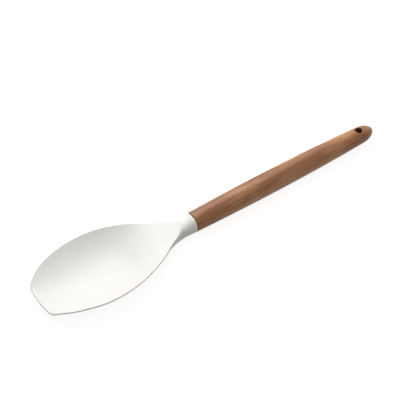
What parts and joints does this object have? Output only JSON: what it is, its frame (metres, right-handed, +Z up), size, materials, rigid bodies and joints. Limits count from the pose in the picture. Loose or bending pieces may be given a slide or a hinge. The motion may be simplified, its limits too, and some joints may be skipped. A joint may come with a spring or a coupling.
{
  "type": "rice paddle",
  "caption": "Rice paddle: a shallow dished silicone blade moulded over a stiff core and glued to a round turned wooden handle with a hanging hole.",
  "frame": {"origin": "on the table, under the middle of the paddle's length, on its plane of symmetry", "axes": "+X from the blade's tip to the handle's end, +Y across the blade, +Z up out of the bowl"},
  "size_m": [0.33, 0.0708, 0.019],
  "materials": {
    "silicone": "smooth satin",
    "core_nylon": "moulded, fine matte",
    "beech": "sanded and oiled",
    "epoxy": "cured, glossy"
  },
  "bodies": {
    "root": {"silicone_head": "silicone", "stiff_core": "core_nylon", "beech_handle": "beech", "glue_bond": "epoxy"}
  },
  "joints": []
}
